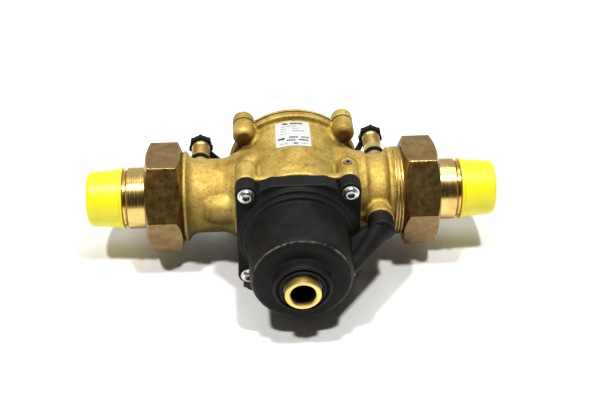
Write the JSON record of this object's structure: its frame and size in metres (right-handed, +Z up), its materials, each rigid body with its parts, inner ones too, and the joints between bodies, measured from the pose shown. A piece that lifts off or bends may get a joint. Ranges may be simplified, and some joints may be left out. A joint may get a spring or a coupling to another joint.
{
  "type": "backflow preventer valve",
  "caption": "Brass pipe valve body with union ends, a round bolted cover, a black plastic relief housing with a discharge tube, capped test cocks and push-on thread caps.",
  "frame": {"origin": "centre of the footprint, at the lowest point of the round cover flange", "axes": "+X along the pipe axis towards the inlet, -Y along the relief axis out of the discharge tube, +Z up as the valve lies on its side"},
  "size_m": [0.305, 0.2038, 0.1006],
  "materials": {
    "cast_brass": "sand cast",
    "turned_brass": "turned",
    "bronze_nut": "forged, satin",
    "steel": "bright",
    "black_plastic": "fine grain moulding",
    "soft_black": "soft plastic",
    "white_plastic": "moulded",
    "yellow_cap": "soft polyethylene",
    "rubber": "moulded",
    "label": "satin film"
  },
  "bodies": {
    "valve": {"body_plug": "turned_brass", "check_circlips": "steel", "cover_o_ring": "rubber", "cover_screws": "steel", "guide_bush": "white_plastic", "housing_screws": "steel", "inlet_cap_strap": "soft_black", "inlet_check_cage": "white_plastic", "inlet_check_o_ring": "rubber", "inlet_check_seat": "turned_brass", "inlet_check_spring": "steel", "inlet_cock_body": "turned_brass", "inlet_cock_seats": "white_plastic", "inlet_tailpiece": "turned_brass", "outlet_cap_strap": "soft_black", "outlet_check_cage": "white_plastic", "outlet_check_o_ring": "rubber", "outlet_check_seat": "turned_brass", "outlet_check_spring": "steel", "outlet_cock_body": "turned_brass", "outlet_cock_seats": "white_plastic", "outlet_tailpiece": "turned_brass", "rating_label": "label", "relief_diaphragm": "rubber", "relief_housing": "black_plastic", "relief_seal_holder": "turned_brass", "relief_seat_seal": "rubber", "relief_spring": "steel", "sense_nipple": "turned_brass", "sense_o_rings": "rubber", "top_cover": "cast_brass", "tube_o_rings": "rubber", "union_gaskets": "rubber", "valve_body": "cast_brass", "zone_cap_strap": "soft_black", "zone_cock_body": "turned_brass", "zone_cock_seats": "white_plastic"},
    "relief": {"relief_tube": "turned_brass", "diaphragm_front_plate": "turned_brass", "diaphragm_back_plate": "turned_brass", "diaphragm_nut": "turned_brass"},
    "inlet_poppet": {"inlet_check_poppet": "white_plastic", "inlet_check_seal": "rubber"},
    "outlet_poppet": {"outlet_check_poppet": "white_plastic", "outlet_check_seal": "rubber"},
    "inlet_nut": {"inlet_union_nut": "bronze_nut"},
    "outlet_nut": {"outlet_union_nut": "bronze_nut"},
    "inlet_end_cap": {"inlet_thread_cap": "yellow_cap"},
    "outlet_end_cap": {"outlet_thread_cap": "yellow_cap"},
    "outlet_ball": {"outlet_cock_ball": "steel"},
    "outlet_cap": {"outlet_dust_cap": "soft_black"},
    "inlet_ball": {"inlet_cock_ball": "steel"},
    "inlet_cap": {"inlet_dust_cap": "soft_black"},
    "zone_ball": {"zone_cock_ball": "steel"},
    "zone_cap": {"zone_dust_cap": "soft_black"}
  },
  "joints": [
    {"name": "relief_slide", "type": "slide", "parent": "valve", "child": "relief", "axis": [0, 1, 0], "range_m": [0, 0.005], "stiffness_N_per_m": 3000, "springref_m": -0.01, "deforming": ["relief_spring", "relief_diaphragm"]},
    {"name": "inlet_check_slide", "type": "slide", "parent": "valve", "child": "inlet_poppet", "axis": [-1, 0, 0], "range_m": [0, 0.008], "stiffness_N_per_m": 900, "springref_m": -0.012, "deforming": ["inlet_check_spring"]},
    {"name": "outlet_check_slide", "type": "slide", "parent": "valve", "child": "outlet_poppet", "axis": [-1, 0, 0], "range_m": [0, 0.008], "stiffness_N_per_m": 900, "springref_m": -0.012, "deforming": ["outlet_check_spring"]},
    {"name": "inlet_nut_turn", "type": "hinge", "parent": "valve", "child": "inlet_nut", "pos_m": [0.0945, 0.01385, 0.0503], "axis": [1, 0, 0], "continuous": true},
    {"name": "outlet_nut_turn", "type": "hinge", "parent": "valve", "child": "outlet_nut", "pos_m": [-0.0945, 0.01385, 0.0503], "axis": [-1, 0, 0], "continuous": true},
    {"name": "inlet_cap_pull", "type": "slide", "parent": "valve", "child": "inlet_end_cap", "axis": [1, 0, 0], "range_m": [0, 0.035]},
    {"name": "outlet_cap_pull", "type": "slide", "parent": "valve", "child": "outlet_end_cap", "axis": [-1, 0, 0], "range_m": [0, 0.035]},
    {"name": "outlet_cock_turn", "type": "hinge", "parent": "valve", "child": "outlet_ball", "pos_m": [-0.0701, 0.05245, 0.0503], "axis": [0, 0, 1], "range_deg": [0, 90]},
    {"name": "outlet_dust_cap_pull", "type": "slide", "parent": "valve", "child": "outlet_cap", "axis": [0, 1, 0], "range_m": [0, 0.008], "deforming": ["outlet_cap_strap"]},
    {"name": "inlet_cock_turn", "type": "hinge", "parent": "valve", "child": "inlet_ball", "pos_m": [0.0671, 0.05445, 0.0503], "axis": [0, 0, 1], "range_deg": [0, 90]},
    {"name": "inlet_dust_cap_pull", "type": "slide", "parent": "valve", "child": "inlet_cap", "axis": [0, 1, 0], "range_m": [0, 0.008], "deforming": ["inlet_cap_strap"]},
    {"name": "zone_cock_turn", "type": "hinge", "parent": "valve", "child": "zone_ball", "pos_m": [0.0025, 0.07105, 0.0503], "axis": [0, 0, 1], "range_deg": [0, 90]},
    {"name": "zone_dust_cap_pull", "type": "slide", "parent": "valve", "child": "zone_cap", "axis": [0, 1, 0], "range_m": [0, 0.008], "deforming": ["zone_cap_strap"]}
  ]
}
